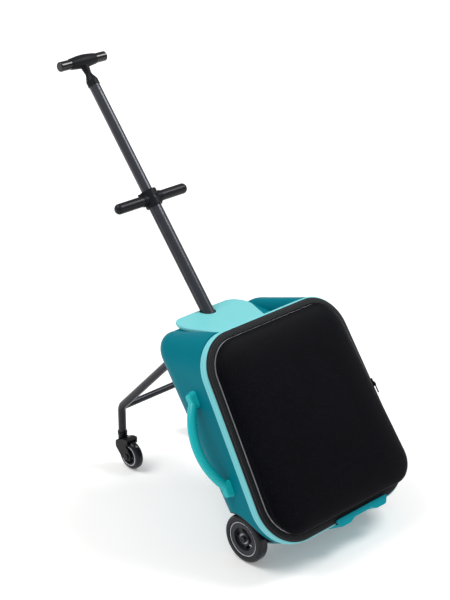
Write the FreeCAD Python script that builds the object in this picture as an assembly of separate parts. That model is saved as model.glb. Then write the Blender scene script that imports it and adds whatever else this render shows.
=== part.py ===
"""Ride on cabin suitcase: a wedge shaped hard case on two rear wheels, with a
fold-out front leg frame on swivel casters, a two stage pole with a handlebar
and a tow handle, and a padded zip lid.

X runs across the case, Y is the riding direction and Z is up. The origin is
the middle of the footprint, on the floor. Lengths are in millimetres.
"""
import FreeCAD, Part
import math
import os

V = FreeCAD.Vector
X_AXIS = V(1, 0, 0)
Y_AXIS = V(0, 1, 0)
Z_AXIS = V(0, 0, 1)
SIDES = {"left": -1, "right": 1}

# Clearances shared by all pieces
running_gap = 0.05
loose_gap = 0.3
seat_gap = 0.1
overrun = 5.0
tolerance = 1e-6

# Case: upright frame with X across, Y from the lid seam to the back, Z up
case_height = 431.0
seam_rake = 0.025
seam_pivot_share = 0.7
case_bottom_width = 408.0
case_top_width = 370.0
case_corner = 80.0
case_low_corner = 88.0
case_low = 2.5
case_corner_growth = -0.3
case_low_growth = 0.12
case_wall = 3.0
case_side_draft = 0.085
case_top_slope = 0.235
case_back_depth = 113.0
case_loft_depth = 260.0
case_back_round = 58.0
case_top_round = 34.0
case_round_steps = 6
least_corner_share = 0.5
lean_angle = 32.0
pole_splay = 8.67

# Rear wheels
wheel_diameter = 100.0
wheel_width = 24.0
wheel_inset = 18.0
wheel_tyre_depth = 13.0
wheel_shoulder = 7.0
axle_depth = 91.0
axle_rise = 42.4
axle_diameter = 8.0
bearing_diameter = 22.0
bearing_width = 7.0
hub_rim = 12.5
hub_width = 20.0
hub_boss_width = 15.0
hub_web = 9.0
hub_boss_wall = 3.0
hub_spokes = 5
spoke_width = 6.0
window_corner = 2.5
bolt_head_diameter = 15.0
bolt_head_depth = 4.0
bolt_nut_diameter = 11.6
arch_gap = 9.0
housing_wall = 2.5
housing_gap = 4.0

# Rim trim, zip band and lid
trim_depth = 18.0
trim_proud = 2.4
trim_valley = 0.9
trim_wall = 5.0
band_width = 14.0
band_rise = 7.0
band_wall = 2.2
piping_diameter = 2.8
piping_gap = 0.6
lid_edge_depth = 6.0
lid_side = 2.0
lid_swell = 18.0
lid_corner_cut = 22.0
lid_crown = 14.0
lid_crown_run = 80.0
lid_wall = 5.0
lid_liner_depth = 1.5
lid_liner_inset = 4.0

# Zip slider and pull tab on the lid's right edge
slider_height = 224.0
slider_length = 12.0
slider_width = 8.0
slider_depth = 2.2
slider_ear = 1.0
slider_roll = 30.0
pull_length = 18.0
pull_width = 8.0
pull_depth = 2.2
pull_barrel = 5.0
pull_pin = 2.0
pull_drop = 2.5

# Seat plate
seat_back_depth = 22.0
seat_back_rise = 436.0
seat_dip_depth = 44.0
seat_dip_rise = 413.5
seat_front_depth = 187.0
seat_slope = 0.518
seat_dip_round = 42.0
seat_thickness = 9.0
seat_narrow_width = 74.0
seat_wide_width = 190.0
seat_wide_depth = 150.0
seat_front_width = 158.0
seat_side_round = 44.0
seat_front_round = 28.0
seat_back_round = 8.0
seat_edge_round = 3.0
seat_screw_diameter = 4.0
seat_screw_head = 8.0
seat_screw_depth = 2.5
seat_screw_bite = 5.0
valley_width = 196.0
valley_round = 20.0

# Pole: own frame with Z along it, origin where it leaves the seat
pole_seat_depth = 170.0
pole_seat_rise = 479.0
pole_opening_gap = 2.2
lower_tube_diameter = 27.4
lower_tube_wall = 1.5
upper_tube_diameter = 23.6
upper_tube_wall = 1.6
tube_groove_width = 2.4
tube_groove_depth = 0.9
guide_wall = 2.0
guide_length = 426.0
guide_top = 26.0
guide_bush_length = 12.0
guide_plug_length = 10.0
spine_wall = 3.0
lower_tube_engaged = 175.0
tube_foot_length = 16.0
collar_rise = 260.0
collar_length = 35.6
collar_lip = 1.5
collar_round = 1.5
tube_bush_length = 9.0
collar_wall = 4.6
collar_stub = 5.0
bar_diameter = 22.4
bar_span = 190.0
bar_socket = 1.6
bar_spigot_step = 1.6
bar_end_round = 9.6
collar_screw_diameter = 7.0
collar_screw_depth = 2.0
button_diameter = 4.4
button_proud = 9.0
button_bite = 0.7
button_bore = 4.0
button_rise = 13.9
rivet_drop = 46.0
rivet_diameter = 5.0
rivet_depth = 1.4
rivet_sink = 0.2
upper_overlap = 120.0
tow_rise = 585.0
tow_width = 121.0
tow_grip_diameter = 21.0
tow_core_width = 64.0
tow_core_diameter = 29.0
tow_neck_diameter = 13.0
tow_neck_length = 46.0
tow_socket_wall = 1.2
tow_socket_length = 12.0
tow_flare_diameter = 22.0
tow_core_round = 2.5
neck_screw_diameter = 3.6
neck_screw_pitch = 11.0
neck_screw_drop = 5.0

# Carry handle on the left side
carry_low_depth = 60.0
carry_high_depth = 72.0
carry_low = 147.0
carry_drop = 101.0
carry_cap_length = 36.0
carry_cap_width = 25.0
carry_cap_rise = 15.0
carry_cap_round = 9.0
carry_cap_taper = 5.0
carry_cap_edge = 4.0
carry_reach = 47.0
carry_grip_diameter = 19.0
carry_grip_seat = 8.0
carry_screw_diameter = 4.0
carry_screw_head = 8.0
carry_screw_depth = 2.5
carry_screw_bite = 7.0

# Stand foot below the lid
foot_middle = 35.0
foot_top_width = 152.0
foot_low_width = 128.0
foot_lobe_width = 26.0
foot_lip = 10.0
foot_lip_wall = 3.0
foot_arch = 6.0
foot_run = 42.0
foot_screw_diameter = 4.0
foot_screw_head = 8.0
foot_screw_depth = 2.0
foot_screw_bite = 6.0
foot_round = 5.0
foot_end_round = 4.0
foot_edge = 1.5

# Leg frame and casters
caster_base = 449.0
leg_spacing = 220.0
leg_tube_diameter = 17.0
leg_tube_wall = 1.6
leg_bend_height = 138.0
leg_bend_radius = 26.0
leg_foot_height = 79.0
brace_diameter = 14.0
hinge_drop = 15.0
hinge_standoff = 14.5
hinge_pin_diameter = 8.0
hinge_eye_diameter = 18.5
hinge_eye_length = 18.0
bracket_wall = 4.0
bracket_low = 34.0
bracket_high = 8.0
bracket_screw_diameter = 5.0
bracket_screw_head = 9.0
bracket_screw_depth = 2.5
caster_diameter = 64.0
caster_width = 18.0
caster_trail = 28.0
caster_tyre_depth = 9.0
caster_axle_diameter = 8.0
stem_diameter = 9.0
stem_seat = 22.0
fork_collar_wall = 5.0
fork_collar_length = 18.0
fork_wall = 4.0
fork_gap = 1.2
fork_fender_wall = 4.0
fork_fender_reach = 3.0
fork_crown_gap = 3.0
fork_lip = 0.9
fork_lip_length = 7.0
fork_round = 6.0
caster_hub_share = 0.36
axle_head_diameter = 12.0
axle_head_depth = 2.0


def flat(u, v):
    """Point of a flat outline."""
    return V(u, v, 0)


def on_side(x):
    """Plane across X: outline points are Y and Z."""
    return lambda p: V(x, p.x, p.y)


def on_level(z):
    """Level plane: outline points are X and Y."""
    return lambda p: V(p.x, p.y, z)


def rounded_wire(points, radii, to_space):
    """Closed wire through flat points, with each corner rounded by an arc."""
    bends = []
    for i, corner in enumerate(points):
        before = points[i - 1] - corner
        after = points[(i + 1) % len(points)] - corner
        before.normalize()
        after.normalize()
        half = before.getAngle(after) / 2
        reach = radii[i] / math.tan(half)
        inward = before + after
        if radii[i] > 0:
            inward.normalize()
        crown = corner + inward * (radii[i] / math.sin(half) - radii[i])
        bends.append((corner + before * reach, crown, corner + after * reach))
    edges = []
    for i, (start, crown, end) in enumerate(bends):
        if radii[i] > 0:
            edges.append(Part.Arc(to_space(start), to_space(crown), to_space(end)).toShape())
        following = bends[(i + 1) % len(bends)][0]
        if (following - end).Length > tolerance:
            edges.append(Part.makeLine(to_space(end), to_space(following)))
    return Part.Wire(edges)


def prism(points, radii, to_space, along):
    """Solid of a rounded outline, drawn along a vector."""
    return Part.Face(rounded_wire(points, radii, to_space)).extrude(along)


def mirrored_points(half):
    """Outline symmetric about X = 0, from its right half."""
    return half + [flat(-p.x, p.y) for p in reversed(half)]


def rod(diameter, start, end):
    """Round bar between two points."""
    axis = end - start
    return Part.makeCylinder(diameter / 2, axis.Length, start, axis)


def pipe(diameter, wall, start, end):
    """Round tube between two points."""
    return rod(diameter, start, end).cut(rod(diameter - 2 * wall, start, end))


def turned(profile, radii, centre, axis_x):
    """Solid turned about the X axis: profile points are X and radius."""
    wire = rounded_wire(profile, radii, lambda p: V(axis_x + p.x, centre.y, centre.z + p.y))
    return Part.Face(wire).revolve(centre, X_AXIS, 360)


def placed(shape, placement):
    """Copy of a shape moved by a placement."""
    copy = shape.copy()
    copy.Placement = placement.multiply(copy.Placement)
    return copy


# Placements of the case frame and the pole frame in the part's frame
wheel_radius = wheel_diameter / 2
splay = math.radians(pole_splay)
lean_turn = FreeCAD.Rotation(X_AXIS, -lean_angle)
axle_in_case = V(0, axle_depth, axle_rise)
case_base = V(0, 0, wheel_radius) - lean_turn.multVec(axle_in_case)
case_place = FreeCAD.Placement(case_base, lean_turn)
pole_turn = FreeCAD.Rotation(X_AXIS, -lean_angle - pole_splay)
pole_seat = V(0, pole_seat_depth, pole_seat_rise)
pole_place = FreeCAD.Placement(case_place.multVec(pole_seat), pole_turn)
pole_in_case = FreeCAD.Placement(pole_seat, FreeCAD.Rotation(X_AXIS, -pole_splay))


def back_at(rise):
    """Depth of the flat back of the case at a height."""
    return case_back_depth + rise * math.tan(splay)


def seam_shift(z):
    """How far the raked opening lies behind the case's front plane at a height."""
    return seam_rake * (z - case_height * seam_pivot_share)


def seam_outline(offset, y, swell=0, tight=0):
    """Outline of the raked opening, grown by an offset, at a depth.

    It can swell outwards towards its lower edge, and tighten its lower corners.
    """
    half = [
        flat(case_bottom_width / 2 + offset, case_low - offset),
        flat(case_top_width / 2 + offset, case_height + offset),
    ]
    low = max(case_low_corner + offset - tight, case_low_corner * least_corner_share)
    high = max(case_corner + offset, case_corner * least_corner_share)

    def to_space(p):
        return V(p.x, y + seam_shift(p.y) - swell * (1 - p.y / case_height), p.y)

    return rounded_wire(mirrored_points(half), [low, high, high, low], to_space)


def seam_loft(steps):
    """Solid through outlines of the opening, each at an offset and a depth."""
    ordered = sorted(steps, key=lambda step: step[1])
    return Part.makeLoft([seam_outline(*step) for step in ordered], True, True)


def seam_ring(outer_steps, inner_steps):
    """Ring between two such solids."""
    return seam_loft(outer_steps).cut(seam_loft(inner_steps))


def body_slice(base, tilt, side_inset, level_inset):
    """Rounded slice of the case body on a plane that leans back by a tilt."""
    lift = math.tan(tilt)
    low = case_low + level_inset
    high = (case_height + case_top_slope * base - level_inset) / (1 - case_top_slope * lift)
    half = []
    for rise in (low, high):
        y = base + rise * lift
        width = case_bottom_width + (case_top_width - case_bottom_width) * rise / case_height
        half.append(flat(width / 2 - y * case_side_draft - side_inset, rise / math.cos(tilt)))
    corners = [case_low_corner + case_low_growth * base, case_corner + case_corner_growth * base]
    corners = [corner - side_inset / 2 for corner in corners]

    def to_space(p):
        rise = p.y * math.cos(tilt)
        return V(p.x, base + rise * lift, rise)

    return rounded_wire(mirrored_points(half), corners + corners[::-1], to_space)


def round_inset(radius, distance):
    """How far an edge of a radius has curved in at a distance from its flat face."""
    rest = max(radius - distance, 0)
    return radius - math.sqrt(radius * radius - rest * rest)


def case_body(front, inset):
    """Tapered body of the case with a slanted back, rounded wide at its sides."""
    back = case_back_depth - inset / math.cos(splay)
    side_round = case_back_round - inset
    level_round = case_top_round - inset
    slices = []
    for i in range(case_round_steps + 1):
        turn = math.pi / 2 * i / case_round_steps
        distance = side_round * (1 - math.sin(turn))
        side_inset = inset + round_inset(side_round, distance)
        level_inset = inset + round_inset(level_round, distance)
        slices.append(body_slice(back - distance / math.cos(splay), splay, side_inset, level_inset))
    mouth = body_slice(front + seam_shift(0), math.atan(seam_rake), inset, inset)
    straight = Part.makeLoft([mouth, slices[0]], True, True)
    rounded = Part.makeLoft(slices, True, False)
    return straight.fuse(rounded)


def seat_profile(drop):
    """Side profile of the seat's upper face, lowered by a drop: Y and Z points and radii."""
    front_rise = seat_dip_rise + (seat_front_depth - seat_dip_depth) * seat_slope
    points = [
        flat(seat_back_depth, seat_back_rise - drop),
        flat(seat_dip_depth, seat_dip_rise - drop),
        flat(seat_front_depth, front_rise - drop),
    ]
    return points, [0, seat_dip_round, 0]


def above_seat(drop, width):
    """Space above the seat's face, lowered by a drop, as wide as given."""
    points, radii = seat_profile(drop)
    past = seat_front_depth - seat_dip_depth
    front = points[-1] + flat(past, past * seat_slope)
    rear = points[0] - flat(seat_back_depth / 2, 0)
    top = case_height + case_loft_depth
    outline = [rear] + points[:2] + [front, flat(front.x, top), flat(rear.x, top)]
    return prism(outline, [0] + radii[:2] + [0, 0, 0], on_side(-width / 2), V(width, 0, 0))


def seat_valley(drop, width, flare):
    """Space between the shoulders above the seat's floor, with rounded shoulder edges."""
    half = width / 2
    deep = case_height / 2
    length = 2 * case_loft_depth
    middle = Part.makeBox(width, length, 2 * deep, V(-half, 0, -deep))
    for side in SIDES.values():
        corner = V(half if side > 0 else -half - flare, 0, -flare)
        edge = Part.makeBox(flare, length, deep, corner)
        bead = Part.makeCylinder(flare, length, V(side * (half + flare), 0, -flare), Y_AXIS)
        middle = middle.fuse(edge.cut(bead))
    middle.rotate(V(0, 0, 0), X_AXIS, math.degrees(math.atan(case_top_slope)))
    middle.translate(V(0, 0, case_height))
    return above_seat(drop, width + 2 * flare).common(middle)


def spine(diameter, length):
    """Round column on the pole's axis, from below the seat downwards, in the case frame."""
    column = rod(diameter, V(0, 0, -length), V(0, 0, 0))
    return placed(column, pole_in_case)


guide_bore = lower_tube_diameter + 2 * loose_gap
guide_diameter = guide_bore + 2 * guide_wall
spine_bore = guide_diameter + 2 * seat_gap
spine_diameter = spine_bore + 2 * spine_wall
arch_diameter = wheel_diameter + 2 * arch_gap
wheel_outer_face = case_bottom_width / 2 - wheel_inset
carry_high = case_height - carry_drop
hinge_rise = case_height - hinge_drop
wheel_inner_face = wheel_outer_face - wheel_width
housing_inner_face = wheel_inner_face - housing_gap - housing_wall


def arch(side, diameter, inner):
    """Wheel arch on one side of the case, from an inner X outwards."""
    start = V(side * inner, axle_depth, axle_rise)
    return rod(diameter, start, start + V(side * case_bottom_width, 0, 0))


def side_at(y, z):
    """X of the case's right side face at a depth and a height."""
    width = case_bottom_width + (case_top_width - case_bottom_width) * z / case_height
    return width / 2 - y * case_side_draft


def seat_point(x, y, drop):
    """Point of the seat's sloped face, lowered by a drop."""
    return V(x, y, seat_dip_rise + (y - seat_dip_depth) * seat_slope - drop)


seat_normal = V(0, -seat_slope, 1).normalize()
seat_screw_width_shares = (0.22, 0.34)
seat_screw_depth_shares = (0.45, 0.72)


def seat_screw_seats():
    """Points under the valley floor where the seat's screws enter."""
    seats = []
    for width_share, depth_share in zip(seat_screw_width_shares, seat_screw_depth_shares):
        for side in SIDES.values():
            x = side * seat_wide_width * width_share
            y = seat_front_depth * depth_share
            seats.append(seat_point(x, y, seat_thickness + seat_gap + case_wall))
    return seats


def screw(diameter, length, head, depth, seat, along):
    """Screw whose head lies under its seat, with its shank along a direction."""
    along = V(along).normalize()
    shank = rod(diameter, seat - along * depth, seat + along * length)
    return shank.fuse(rod(head, seat - along * depth, seat))


def drill(diameter, seat, along, length):
    """Round hole for a screw, both ways from its seat."""
    along = V(along).normalize()
    return rod(diameter + 2 * seat_gap, seat - along * overrun, seat + along * length)


back_place = FreeCAD.Placement(case_place.multVec(V(0, back_at(hinge_rise), hinge_rise)), pole_turn)
back_in_case = FreeCAD.Placement(
    V(0, back_at(hinge_rise), hinge_rise), FreeCAD.Rotation(X_AXIS, -pole_splay)
)
leg_x = leg_spacing / 2
bracket_screw_shares = (0.35, 0.78)
foot_pad_depth = (trim_depth + foot_run) / 2


def carry_depth_at(z):
    """Depth of the carry handle's middle line at a height."""
    run = (z - carry_low) / (carry_high - carry_low)
    return carry_low_depth + (carry_high_depth - carry_low_depth) * run


def carry_seats():
    """Points inside the left wall where the carry handle's screws enter."""
    taper = (case_bottom_width - case_top_width) / 2 / case_height
    clear = carry_screw_head / 2 * (case_side_draft + taper) + seat_gap
    seats = []
    for z in (carry_low, carry_high):
        depth = carry_depth_at(z)
        seats.append(V(-side_at(depth, z) + case_wall + clear, depth, z))
    return seats


def bracket_seats():
    """Points on the bracket plates under the heads of their screws, in the back frame."""
    seats = []
    for side in SIDES.values():
        for share in bracket_screw_shares:
            seats.append(V(side * leg_x, bracket_wall, -bracket_low * share))
    return seats


def foot_seats():
    """Points under the stand foot's two lobes where its screws enter."""
    reach = (foot_low_width - foot_lobe_width) / 2
    return [V(foot_middle + side * reach, foot_pad_depth, -foot_drop) for side in SIDES.values()]


foot_drop = wheel_radius - axle_rise


def shell():
    """Moulded case: hollow wedge, open at the lid, with seat valley, arches and pole spine."""
    outer = case_body(trim_depth, 0)
    hollow = case_body(trim_depth - overrun, case_wall)
    column = spine(spine_diameter, guide_length + guide_plug_length)
    floor_drop = seat_thickness + seat_gap
    solid = outer.fuse(column.cut(above_seat(floor_drop, case_top_width)))
    solid = solid.cut(seat_valley(floor_drop, valley_width, valley_round))
    hollow = hollow.cut(column)
    hollow = hollow.cut(seat_valley(floor_drop + case_wall, valley_width + 2 * case_wall, valley_round))
    for side in SIDES.values():
        hollow = hollow.cut(arch(side, arch_diameter + 2 * case_wall, housing_inner_face - case_wall))
        solid = solid.cut(arch(side, arch_diameter, housing_inner_face))
    case = solid.cut(hollow).cut(spine(spine_bore, guide_length + guide_plug_length + overrun))
    holes = [drill(seat_screw_diameter, p, seat_normal, seat_screw_bite) for p in seat_screw_seats()]
    holes += [drill(carry_screw_diameter, p, -X_AXIS, carry_screw_bite) for p in carry_seats()]
    holes += [drill(foot_screw_diameter, p, Z_AXIS, foot_screw_bite + foot_drop) for p in foot_seats()]
    through = bracket_wall + case_wall + overrun
    for seat in bracket_seats():
        hole = drill(bracket_screw_diameter, seat, -Y_AXIS, through)
        holes.append(placed(hole, back_in_case))
    holes.append(rod(axle_diameter + 2 * seat_gap, V(-case_bottom_width / 2, axle_depth, axle_rise),
                     V(case_bottom_width / 2, axle_depth, axle_rise)))
    return case.cut(Part.makeCompound(holes))


def rim_trim():
    """Light trim round the opening, with two rounded ridges."""
    ridge = trim_depth / 8
    steps = [
        (0, 0),
        (trim_proud, ridge),
        (trim_proud, 3 * ridge),
        (trim_valley, 4 * ridge),
        (trim_proud, 5 * ridge),
        (trim_proud, 7 * ridge),
        (0, 8 * ridge),
    ]
    return seam_ring(steps, [(-trim_wall, -overrun), (-trim_wall, trim_depth + overrun)])


def band_steps(sink):
    """Rolled face of the zip band, sunk by a thickness: offsets and depths."""
    rolls = 5
    steps = []
    for i in range(rolls + 1):
        turn = math.pi / 2 * i / rolls
        steps.append((-sink - band_width * (1 - math.cos(turn)), -(band_rise - sink) * math.sin(turn)))
    return steps


def zip_band():
    """Fabric band that carries the zip, rolled from the trim's edge inwards."""
    inner = band_steps(band_wall)
    inside = seam_loft([(inner[0][0], overrun)] + inner)
    opening = seam_loft([(-band_width, overrun), (-band_width, -band_rise - overrun)])
    return seam_loft(band_steps(0)).cut(inside).cut(opening)


piping_offset = -band_width - piping_gap - piping_diameter / 2
piping_y = -band_rise + piping_diameter / 2
lid_offset = piping_offset - piping_diameter / 2 - piping_gap
lid_back_y = -band_rise + lid_edge_depth


def lid_face(sink):
    """Solid under the lid's crowned face, sunk by a thickness."""
    rolls = 7
    steps = [(lid_offset - sink, lid_back_y + sink), (lid_offset - sink, sink - band_rise)]
    for i in range(rolls + 1):
        turn = math.pi / 2 * i / rolls
        offset = lid_offset - sink - lid_crown_run * (1 - math.cos(turn))
        rise = lid_side + lid_crown * math.sin(turn)
        steps.append((offset, sink - band_rise - rise, lid_swell, lid_corner_cut))
    return seam_loft(steps)


def lid_panel():
    """Padded lid: a dish with a crowned, rounded face."""
    return lid_face(0).cut(lid_face(lid_wall))


def lid_piping():
    """Round piping sewn along the lid's edge."""
    path = seam_outline(piping_offset, piping_y)
    start = path.Edges[0].valueAt(path.Edges[0].FirstParameter)
    heading = path.Edges[0].tangentAt(path.Edges[0].FirstParameter)
    ring = Part.Wire([Part.makeCircle(piping_diameter / 2, start, heading)])
    return path.makePipeShell([ring], True, False, 1)


def lid_liner():
    """Thin lining sheet behind the padded lid."""
    offset = lid_offset - lid_liner_inset
    front = lid_back_y + seat_gap
    return seam_loft([(offset, front), (offset, front + lid_liner_depth)])


slider_x = side_at(0, slider_height)
slider_y = -2 * loose_gap
pull_pin_z = slider_height - slider_length / 2 - pull_drop
pull_pin_y = slider_y - pull_barrel / 2 - slider_depth / 4
roll_turn = math.radians(slider_roll)
roll_x = slider_x - band_width * (1 - math.cos(roll_turn))
roll_y = seam_shift(slider_height) - band_rise * math.sin(roll_turn)
roll_run = V(side_at(0, case_height) - side_at(0, 0), seam_shift(case_height) - seam_shift(0), case_height)
roll_back = V(-band_rise * math.cos(roll_turn), band_width * math.sin(roll_turn), 0)
roll_axes = FreeCAD.Rotation(roll_back.cross(roll_run), roll_back, roll_run, "ZYX")
roll_place = FreeCAD.Placement(V(roll_x, roll_y, slider_height), roll_axes)
roll_place = roll_place.multiply(FreeCAD.Placement(V(-slider_x, 0, -slider_height), FreeCAD.Rotation()))


def zip_slider():
    """Zip slider with two ears and the pin of its pull tab."""
    half = flat(slider_width / 2, slider_length / 2)
    plate = [flat(half.x, -half.y), half]
    to_space = lambda p: V(slider_x + p.x, slider_y, slider_height + p.y)
    body = prism(mirrored_points(plate), [slider_width / 4] * 4, to_space, V(0, -slider_depth, 0))
    ear = [
        flat(slider_y, slider_height),
        flat(slider_y, pull_pin_z - pull_barrel / 2),
        flat(slider_y - pull_barrel, pull_pin_z - pull_barrel / 2),
        flat(slider_y - pull_barrel, pull_pin_z + pull_barrel / 2),
        flat(slider_y - slider_depth, slider_height),
    ]
    for side in SIDES.values():
        x = slider_x + side * half.x - (slider_ear if side > 0 else 0)
        body = body.fuse(prism(ear, [0, 0, slider_ear, slider_ear, 0], on_side(x), V(slider_ear, 0, 0)))
    start = V(slider_x - half.x, pull_pin_y, pull_pin_z)
    return body.fuse(rod(pull_pin, start, start + V(slider_width, 0, 0)))


def zip_pull():
    """Pull tab that swings on the slider's pin."""
    barrel_half = slider_width / 2 - slider_ear - loose_gap
    start = V(slider_x - barrel_half, pull_pin_y, pull_pin_z)
    end = start + V(2 * barrel_half, 0, 0)
    low = pull_pin_z - pull_length
    neck = pull_pin_z - pull_barrel
    half = [
        flat(pull_width / 2, low),
        flat(pull_width / 2, neck),
        flat(barrel_half, neck),
        flat(barrel_half, pull_pin_z),
    ]
    radii = [pull_width / 3, 0, 0, 0, 0, 0, 0, pull_width / 3]
    to_space = lambda p: V(slider_x + p.x, pull_pin_y - pull_depth / 2, p.y)
    tab = prism(mirrored_points(half), radii, to_space, V(0, pull_depth, 0))
    tab = tab.fuse(rod(pull_barrel, start, end))
    return tab.cut(rod(pull_pin + 2 * running_gap, start - V(overrun, 0, 0), end + V(overrun, 0, 0)))


def on_seat_rim(edge):
    """Whether an edge bounds the seat's upper face, ahead of its rear end."""
    middle = edge.valueAt((edge.FirstParameter + edge.LastParameter) / 2)
    level = seat_point(0, middle.y, 0).z
    return middle.y > seat_dip_depth and abs(middle.z - level) < seat_thickness / 4


def seat_plate():
    """Dished seat with rounded wings and an opening for the pole."""
    top, radii = seat_profile(0)
    low, low_radii = seat_profile(seat_thickness)
    width = 2 * seat_wide_width
    low.reverse()
    slab = prism(top + low, radii + low_radii, on_side(-width / 2), V(width, 0, 0))
    half = [
        flat(seat_narrow_width / 2, seat_back_depth),
        flat(seat_wide_width / 2, seat_wide_depth),
        flat(seat_front_width / 2, seat_front_depth),
    ]
    corners = [seat_back_round, seat_side_round, seat_front_round]
    corners += list(reversed(corners))
    plan = prism(mirrored_points(half), corners, on_level(case_height / 2), V(0, 0, case_height))
    opening = rod(lower_tube_diameter + 2 * pole_opening_gap, V(0, 0, -case_height), V(0, 0, case_height))
    plate = slab.common(plan)
    rim = [e for e in plate.Edges if on_seat_rim(e)]
    plate = plate.makeFillet(seat_edge_round, rim).cut(placed(opening, pole_in_case))
    length = case_wall + seat_screw_bite
    holes = [drill(seat_screw_diameter, p, seat_normal, length) for p in seat_screw_seats()]
    return plate.cut(Part.makeCompound(holes))


def seat_screws():
    """Screws that hold the seat from inside the case."""
    length = case_wall + seat_screw_bite
    screws = []
    sizes = (seat_screw_diameter, length, seat_screw_head, seat_screw_depth)
    for seat in seat_screw_seats():
        screws.append(screw(*sizes, seat, seat_normal))
    return Part.makeCompound(screws)


def carry_cap(z, sense):
    """Tapered end cap of the carry handle, seated on the left wall."""
    depth = carry_depth_at(z)
    side = side_at(depth, z)
    rectangles = []
    for rise, taper in ((-case_wall, 0), (carry_cap_rise, carry_cap_taper)):
        half_y = carry_cap_width / 2 - taper
        low = z - carry_cap_length / 2 + (taper if sense < 0 else 0)
        high = z + carry_cap_length / 2 - (taper if sense > 0 else 0)
        points = [
            flat(depth - half_y, low),
            flat(depth + half_y, low),
            flat(depth + half_y, high),
            flat(depth - half_y, high),
        ]
        rectangles.append(rounded_wire(points, [carry_cap_round - taper / 2] * 4, on_side(-side - rise)))
    cap = Part.makeLoft(rectangles, True, True)
    rim = [e for e in cap.Edges if abs(e.BoundBox.Center.x + side + carry_cap_rise) < seat_gap]
    return cap.makeFillet(carry_cap_edge, rim)


def carry_handle():
    """Grip and two caps of the carry handle, and the screws inside the wall."""
    body = case_body(trim_depth, 0)
    caps = {"upper": carry_cap(carry_high, 1), "lower": carry_cap(carry_low, -1)}
    ends = []
    for z in (carry_low + carry_cap_length / 4, carry_high - carry_cap_length / 4):
        depth = carry_depth_at(z)
        ends.append(V(-side_at(depth, z) - carry_grip_seat, depth, z))
    middle = (ends[0] + ends[1]) / 2
    middle.x = -side_at(middle.y, middle.z) - carry_reach + carry_grip_diameter / 2
    path = Part.Wire([Part.Arc(ends[0], middle, ends[1]).toShape()])
    heading = path.Edges[0].tangentAt(path.Edges[0].FirstParameter)
    grip = swept(path, carry_grip_diameter, ends[0], heading).cut(body)
    screws = []
    holes = []
    length = case_wall + carry_screw_bite
    sizes = (carry_screw_diameter, length, carry_screw_head, carry_screw_depth)
    for seat in carry_seats():
        screws.append(screw(*sizes, seat, -X_AXIS))
        holes.append(drill(carry_screw_diameter, seat, -X_AXIS, length))
    for name, cap in caps.items():
        grip = grip.cut(cap)
        in_case("carry_cap_" + name, cap.cut(body).cut(Part.makeCompound(holes)))
    in_case("carry_grip", grip)
    in_case("carry_screws", Part.makeCompound(screws))


def stand_foot():
    """Two lobed foot under the lid, hooked round the band and screwed to the case."""
    lip_front = -band_rise - loose_gap - foot_lip_wall + seam_shift(0)
    reach = (foot_low_width - foot_lobe_width) / 2
    inner = reach - foot_lobe_width
    half = [
        flat(inner, -foot_drop + foot_arch),
        flat(reach - foot_lobe_width / 2, -foot_drop),
        flat(foot_low_width / 2, -foot_drop),
        flat(foot_top_width / 2, foot_lip),
    ]
    radii = [foot_arch, foot_arch, foot_round, foot_end_round]
    radii = radii + list(reversed(radii))
    to_space = lambda p: V(foot_middle + p.x, lip_front, p.y)
    foot = prism(mirrored_points(half), radii, to_space, V(0, foot_run - lip_front, 0))
    rim = [e for e in foot.Edges if all(abs(v.Y - lip_front) < foot_edge for v in e.Vertexes)]
    foot = foot.makeFillet(foot_edge, rim)
    width = 2 * foot_top_width
    clear_y = -band_rise - loose_gap + seam_shift(0)
    trim_back = trim_depth + loose_gap + seam_shift(0)
    left = foot_middle - foot_top_width
    over = case_height
    front_corner = V(left, clear_y, case_low - trim_proud - loose_gap)
    front_room = Part.makeBox(width, trim_back - clear_y, over, front_corner)
    back_room = Part.makeBox(width, case_height, over, V(left, trim_back - loose_gap, case_low - seat_gap))
    foot = foot.cut(front_room).cut(back_room)
    holes = [drill(foot_screw_diameter, p, Z_AXIS, foot_screw_bite + foot_drop) for p in foot_seats()]
    heads = [rod(foot_screw_head + 2 * seat_gap, p, p + V(0, 0, foot_screw_depth)) for p in foot_seats()]
    return foot.cut(Part.makeCompound(holes)).cut(Part.makeCompound(heads))


def foot_screws():
    """Countersunk screws of the stand foot."""
    screws = []
    for seat in foot_seats():
        under = seat + V(0, 0, foot_screw_depth)
        length = foot_drop + foot_screw_bite - foot_screw_depth
        screws.append(screw(foot_screw_diameter, length, foot_screw_head, foot_screw_depth, under, Z_AXIS))
    return Part.makeCompound(screws)


def wheel_housing(side):
    """Black cup in the wheel arch, with a boss for the axle bolt."""
    inner = housing_inner_face + seat_gap
    cup = arch(side, arch_diameter - 2 * seat_gap, inner)
    cup = cup.cut(arch(side, arch_diameter - 2 * seat_gap - 2 * housing_wall, inner + housing_wall))
    cup = cup.common(case_body(trim_depth, seat_gap))
    boss_end = wheel_outer_face - wheel_width / 2 - hub_boss_width / 2 - loose_gap
    start = V(side * inner, axle_depth, axle_rise)
    end = V(side * boss_end, axle_depth, axle_rise)
    return cup.fuse(rod(bolt_head_diameter, start, end)).cut(rod(axle_diameter + 2 * seat_gap, start, end))


def axle_bolts():
    """Axle bolts of the rear wheels, each with its nut inside the case."""
    bolts = []
    for side in SIDES.values():
        head = wheel_outer_face - wheel_width / 2 + hub_boss_width / 2 + loose_gap
        nut = housing_inner_face - case_wall - seat_gap
        marks = [nut - bolt_head_depth, nut, head, head + bolt_head_depth]
        end, inside, seat, outer = [V(side * mark, 0, wheel_radius) for mark in marks]
        shank = rod(axle_diameter, end, seat)
        cap = rod(bolt_head_diameter, seat, outer)
        bolts.append(shank.fuse(cap).fuse(rod(bolt_nut_diameter, end, inside)))
    return Part.makeCompound(bolts)


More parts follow.
